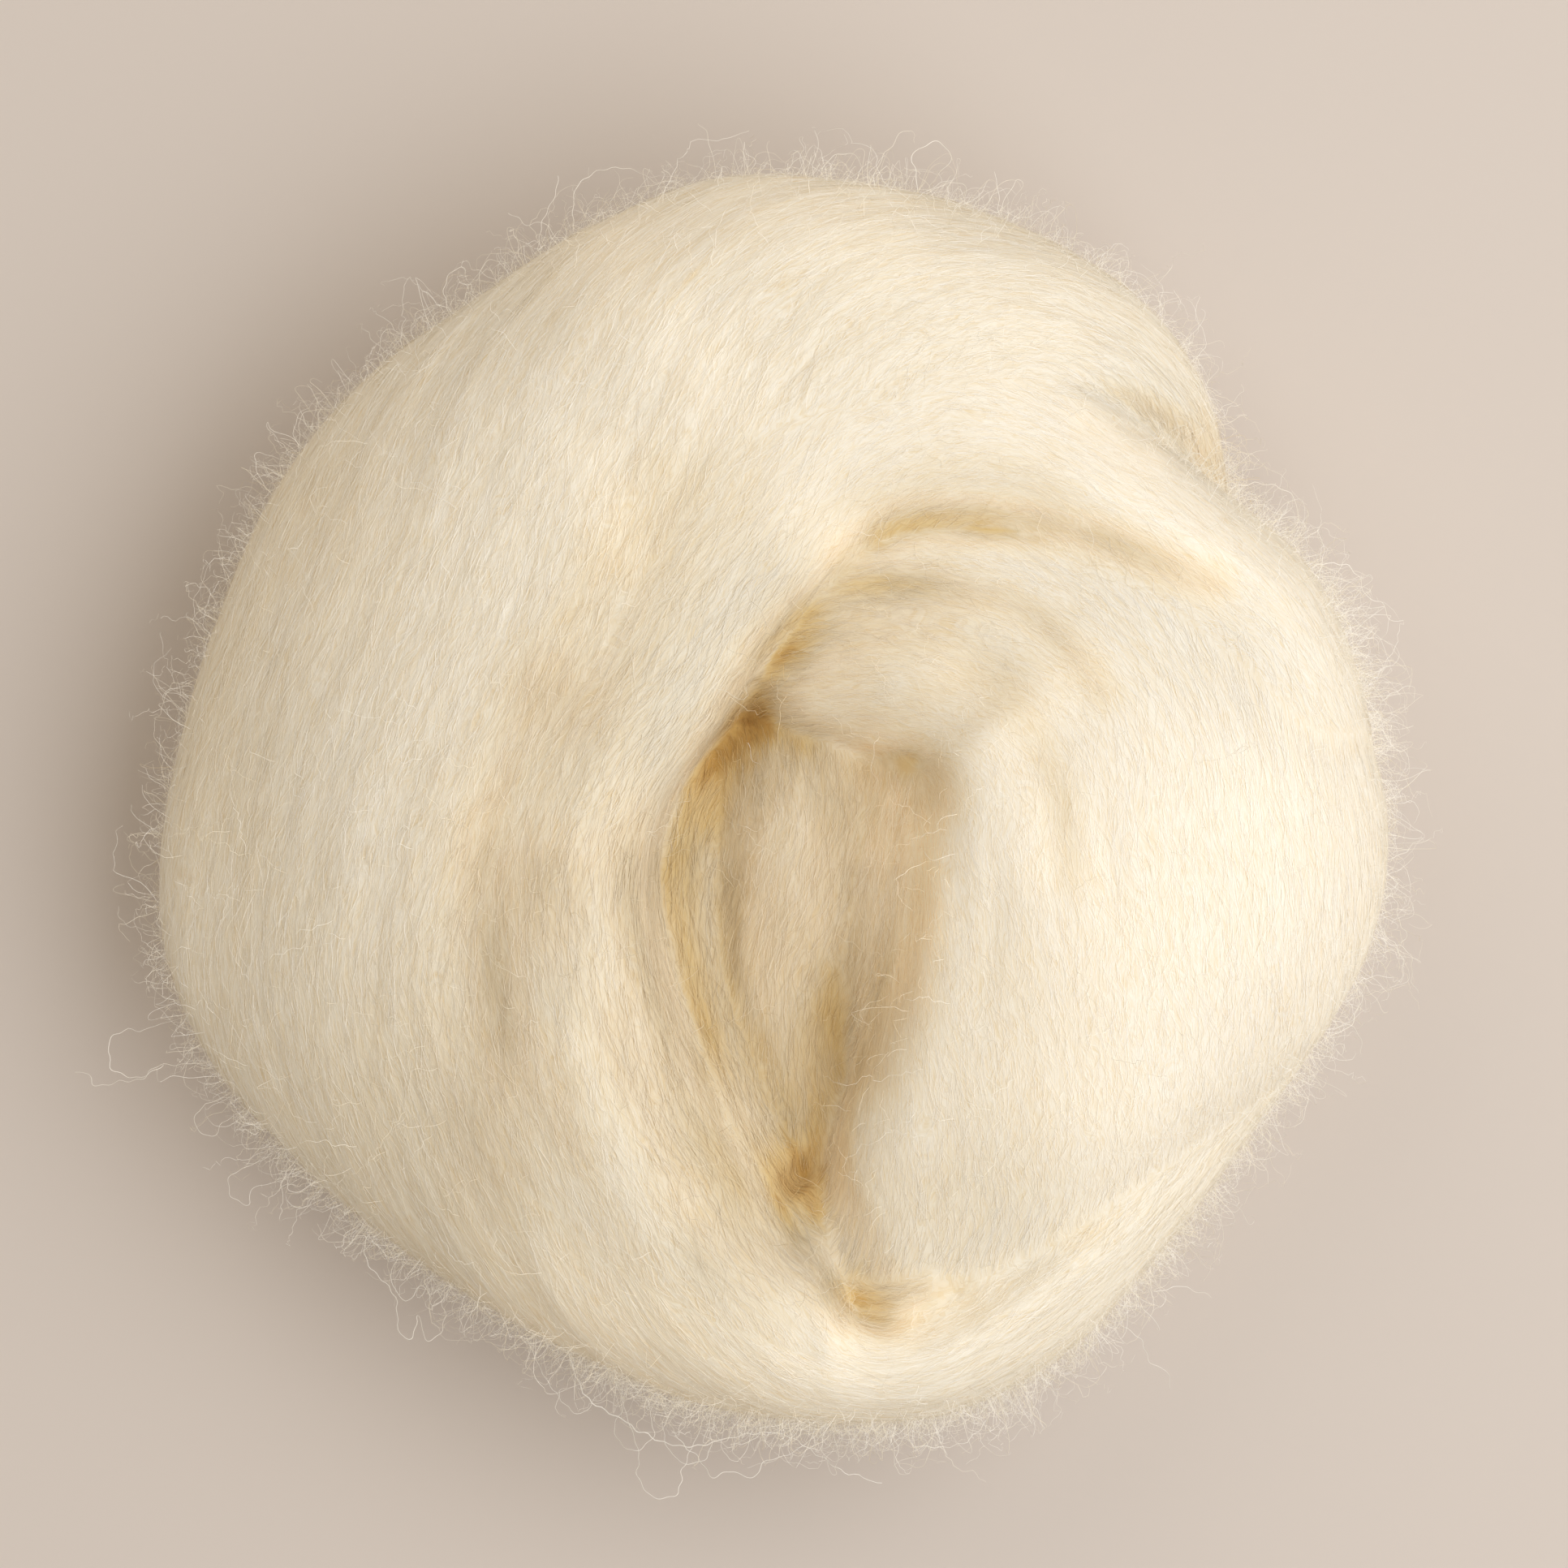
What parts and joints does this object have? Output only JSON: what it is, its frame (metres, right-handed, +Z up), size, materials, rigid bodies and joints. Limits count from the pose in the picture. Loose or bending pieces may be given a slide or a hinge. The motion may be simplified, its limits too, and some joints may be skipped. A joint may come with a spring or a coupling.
{
  "type": "wool roving",
  "caption": "Fluffy nest of combed wool roving, a soft cream strand coiled round and over itself about a shallow well, flat underneath.",
  "frame": {"origin": "centre of the bounding box's bottom face, on the surface that the nest lies on", "axes": "+X to the side where the crossing wrap comes down, +Y to the back of the well, +Z up"},
  "size_m": [0.1522, 0.1551, 0.052],
  "materials": {
    "cream_wool": "matt, fuzzy, combed fibre"
  },
  "bodies": {
    "root": {"roving_nest": "cream_wool"}
  },
  "joints": []
}
